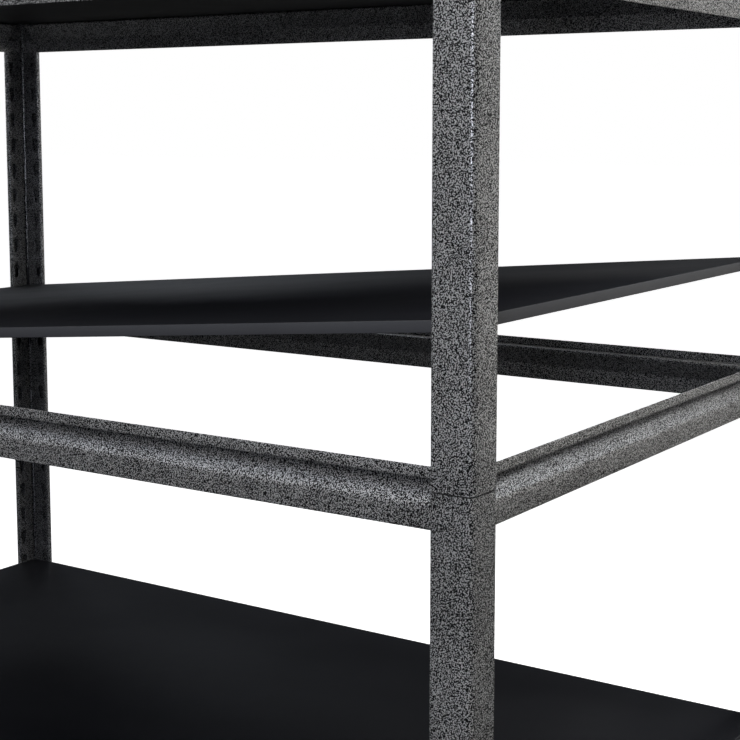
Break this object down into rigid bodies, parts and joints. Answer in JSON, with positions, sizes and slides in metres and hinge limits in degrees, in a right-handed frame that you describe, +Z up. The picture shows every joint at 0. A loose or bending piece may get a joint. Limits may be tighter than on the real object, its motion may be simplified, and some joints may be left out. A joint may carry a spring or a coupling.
{
  "type": "boltless steel shelving unit",
  "caption": "Free-standing boltless shelving: slotted folded-steel corner posts, hook-in rivet beams and loose laminated boards, one board lifted out of its frame.",
  "frame": {"origin": "on the floor, under the middle of the unit", "axes": "+Z up, X along the width, +Y from the front to the back"},
  "size_m": [1.2046, 0.7046, 1.8324],
  "materials": {
    "post_powder_coat": "black and silver hammered vein powder coat",
    "beam_powder_coat": "black and silver hammered vein powder coat",
    "coupler_black_steel": "thin black paint",
    "cap_black_plastic": "moulded black plastic",
    "board_black_laminate": "satin black laminate on board"
  },
  "bodies": {
    "frame": {"lower_post_front_left": "post_powder_coat", "upper_post_front_left": "post_powder_coat", "post_coupler_front_left": "coupler_black_steel", "foot_cap_front_left": "cap_black_plastic", "lower_post_front_right": "post_powder_coat", "upper_post_front_right": "post_powder_coat", "post_coupler_front_right": "coupler_black_steel", "foot_cap_front_right": "cap_black_plastic", "lower_post_back_right": "post_powder_coat", "upper_post_back_right": "post_powder_coat", "post_coupler_back_right": "coupler_black_steel", "foot_cap_back_right": "cap_black_plastic", "lower_post_back_left": "post_powder_coat", "upper_post_back_left": "post_powder_coat", "post_coupler_back_left": "coupler_black_steel", "foot_cap_back_left": "cap_black_plastic", "long_beam_front_1": "beam_powder_coat", "long_beam_back_1": "beam_powder_coat", "short_beam_left_1": "beam_powder_coat", "short_beam_right_1": "beam_powder_coat", "long_beam_front_2": "beam_powder_coat", "long_beam_back_2": "beam_powder_coat", "short_beam_left_2": "beam_powder_coat", "short_beam_right_2": "beam_powder_coat", "long_beam_front_3": "beam_powder_coat", "long_beam_back_3": "beam_powder_coat", "short_beam_left_3": "beam_powder_coat", "short_beam_right_3": "beam_powder_coat", "long_beam_front_4": "beam_powder_coat", "long_beam_back_4": "beam_powder_coat", "short_beam_left_4": "beam_powder_coat", "short_beam_right_4": "beam_powder_coat", "long_beam_front_5": "beam_powder_coat", "long_beam_back_5": "beam_powder_coat", "short_beam_left_5": "beam_powder_coat", "short_beam_right_5": "beam_powder_coat"},
    "loose_board_1": {"board_1": "board_black_laminate"},
    "loose_board_2": {"board_2": "board_black_laminate"},
    "loose_board_3": {"board_3": "board_black_laminate"},
    "loose_board_4": {"board_4": "board_black_laminate"},
    "loose_board_5": {"board_5": "board_black_laminate"}
  },
  "joints": [
    {"name": "board_1_lift", "type": "slide", "parent": "frame", "child": "loose_board_1", "axis": [0, 0, 1], "range_m": [0, 0.12]},
    {"name": "board_2_lift", "type": "slide", "parent": "frame", "child": "loose_board_2", "axis": [0, 0, 1], "range_m": [0, 0.12]},
    {"name": "middle_board_lift", "type": "hinge", "parent": "frame", "child": "loose_board_3", "pos_m": [-0.7535, 0, 0.92715], "axis": [0, -1, 0], "range_deg": [-4.9, 2.5]},
    {"name": "board_4_lift", "type": "slide", "parent": "frame", "child": "loose_board_4", "axis": [0, 0, 1], "range_m": [0, 0.12]},
    {"name": "board_5_lift", "type": "slide", "parent": "frame", "child": "loose_board_5", "axis": [0, 0, 1], "range_m": [0, 0.12]}
  ]
}
